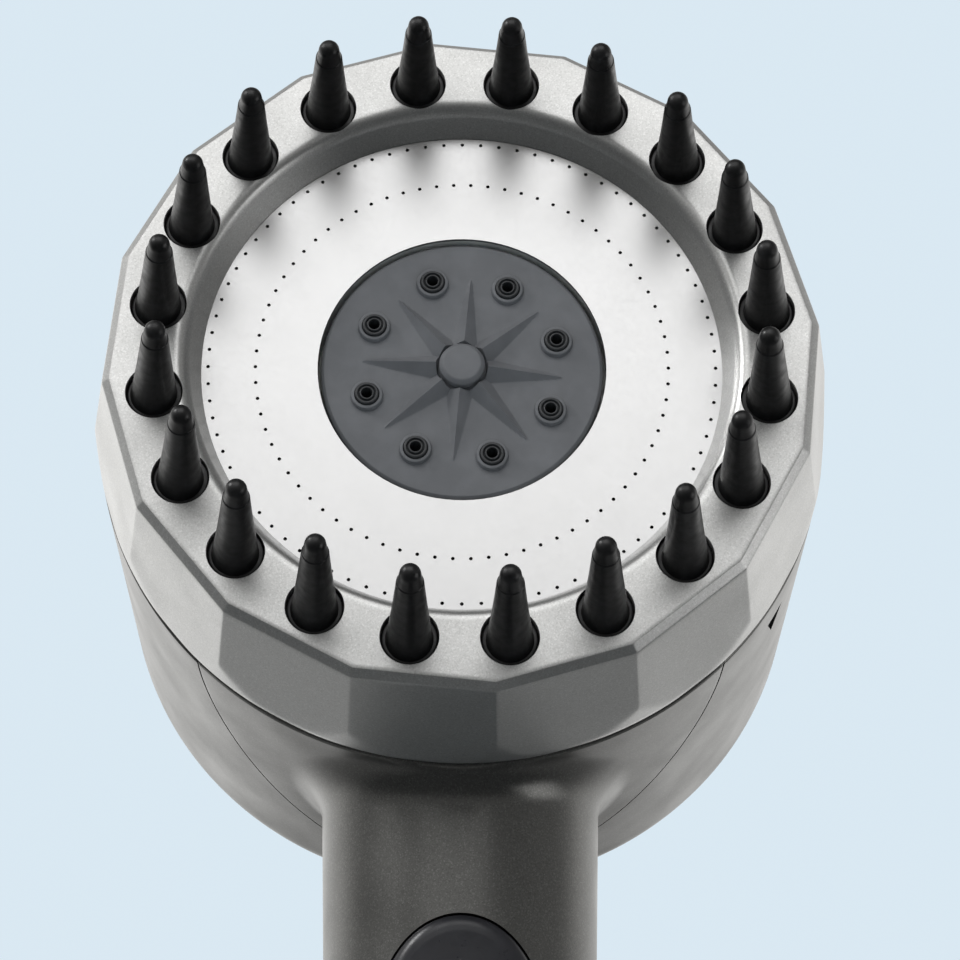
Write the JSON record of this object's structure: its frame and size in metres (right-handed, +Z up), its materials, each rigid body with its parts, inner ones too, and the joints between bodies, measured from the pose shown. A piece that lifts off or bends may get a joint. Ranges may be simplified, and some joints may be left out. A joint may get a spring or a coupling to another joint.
{
  "type": "handheld shower head",
  "caption": "Handheld shower head with a deep round barrel, turning face dial, silicone massage bristles, drilled steel spray plate and a water-stop button on the handle",
  "frame": {"origin": "centre of the hose inlet's end face, on the handle's axis", "axes": "+Z up along the handle; the spray face looks towards -Y; +X is to the right seen from the spray side"},
  "size_m": [0.095, 0.0978, 0.2445],
  "materials": {
    "gunmetal": "gunmetal metallic paint on ABS, satin",
    "silver": "silver metallic paint on ABS, satin, fine flake",
    "plate_steel": "fine satin stainless sheet, laser drilled",
    "steel": "plain stainless",
    "slate": "dark slate moulded plastic, fine texture",
    "silicone": "black silicone, soft satin",
    "rubber": "black nitrile rubber",
    "black_plastic": "black satin plastic",
    "white_plastic": "natural white acetal",
    "cotton": "wound white polypropylene fibre"
  },
  "bodies": {
    "handle": {"handle_shell": "gunmetal", "barrel_shell": "gunmetal", "index_mark": "black_plastic", "waterway": "white_plastic", "bulkhead_screws": "steel", "centre_screw": "steel", "port_seal": "rubber", "detent_spring": "steel", "riser_pipe": "white_plastic", "riser_seals": "rubber", "valve_body": "white_plastic", "valve_seals": "rubber", "button_spring": "steel", "filter_core": "cotton", "filter_caps": "slate", "inlet_connector": "gunmetal", "connector_seal": "rubber", "flow_regulator": "white_plastic", "inlet_strainer": "steel"},
    "face_dial": {"comb_ring": "silver", "comb": "silicone", "face_plate": "plate_steel", "plate_gasket": "rubber", "nozzle_disc": "slate", "nozzle_pad": "silicone", "centre_cap": "slate", "face_carrier": "white_plastic", "ring_screws": "steel", "diverter_plate": "white_plastic", "face_seal": "rubber"},
    "button": {"stop_button": "black_plastic", "valve_spool": "white_plastic", "spool_seals": "rubber"},
    "detent": {"detent_pin": "steel"}
  },
  "joints": [
    {"name": "mode_turn", "type": "hinge", "parent": "handle", "child": "face_dial", "pos_m": [0, 0, 0.197], "axis": [0, -1, 0], "range_deg": [-40, 40]},
    {"name": "button_press", "type": "slide", "parent": "handle", "child": "button", "axis": [0, 1, 0], "range_m": [0, 0.0026], "stiffness_N_per_m": 2500, "deforming": ["button_spring"]},
    {"name": "detent_slide", "type": "slide", "parent": "handle", "child": "detent", "axis": [0, 1, 0], "range_m": [0, 0.0008], "stiffness_N_per_m": 1500, "deforming": ["detent_spring"]}
  ]
}
